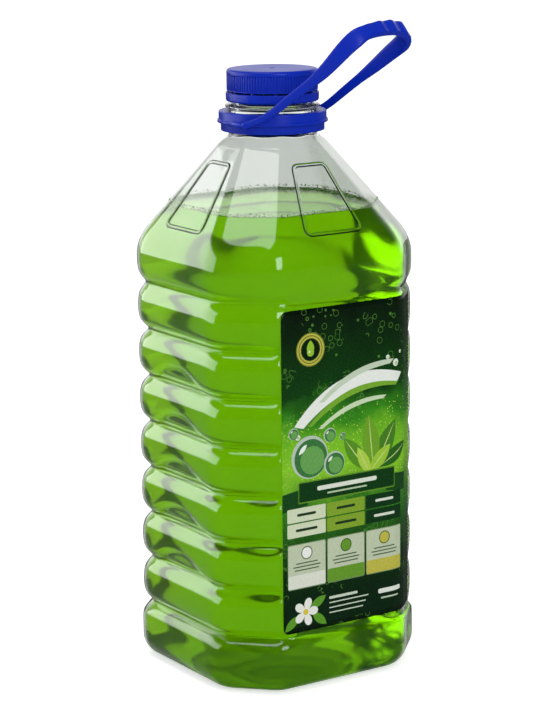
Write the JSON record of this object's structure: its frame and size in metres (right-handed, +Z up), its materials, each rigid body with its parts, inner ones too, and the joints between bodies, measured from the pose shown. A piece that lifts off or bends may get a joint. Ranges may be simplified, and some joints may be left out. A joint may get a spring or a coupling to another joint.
{
  "type": "laundry detergent bottle",
  "caption": "Clear ribbed square bottle of liquid detergent with cut corners, screw cap, tamper band, turning collar, swinging loop strap and a film label.",
  "frame": {"origin": "on the neck's axis at the level of the foot", "axes": "+Z up along the neck, label faces -Y, the strap leans out over the front right corner"},
  "size_m": [0.142, 0.1457, 0.3838],
  "materials": {
    "clear_shell": "clear gloss",
    "green_liquid": "translucent green liquid",
    "label_film": "satin printed film",
    "blue_plastic": "semi gloss moulded",
    "foam_liner": "matt foam"
  },
  "bodies": {
    "bottle_body": {"bottle": "clear_shell", "detergent": "green_liquid", "front_label": "label_film", "tamper_band": "blue_plastic"},
    "liner_body": {"liner": "foam_liner"},
    "cap_body": {"cap": "blue_plastic"},
    "collar_body": {"handle_collar": "blue_plastic"},
    "strap_body": {"carry_strap": "blue_plastic"}
  },
  "joints": [
    {"name": "cap_lift", "type": "slide", "parent": "bottle_body", "child": "liner_body", "axis": [0, 0, 1], "range_m": [0, 0.018]},
    {"name": "cap_turn", "type": "hinge", "parent": "liner_body", "child": "cap_body", "pos_m": [0, 0, 0.348], "axis": [0, 0, 1], "range_deg": [0, 540.1]},
    {"name": "collar_spin", "type": "hinge", "parent": "bottle_body", "child": "collar_body", "pos_m": [0, 0, 0.3243], "axis": [0, 0, 1], "continuous": true},
    {"name": "strap_swing", "type": "hinge", "parent": "collar_body", "child": "strap_body", "pos_m": [0, 0, 0.3242], "axis": [-0.8746, -0.4848, 0], "range_deg": [-55, 50], "stiffness_Nm_per_rad": 0.05, "springref_deg": 2.29}
  ],
  "couplings": [
    {"joint": "cap_turn", "follows": "cap_lift", "rad_per_m": 523.6}
  ]
}
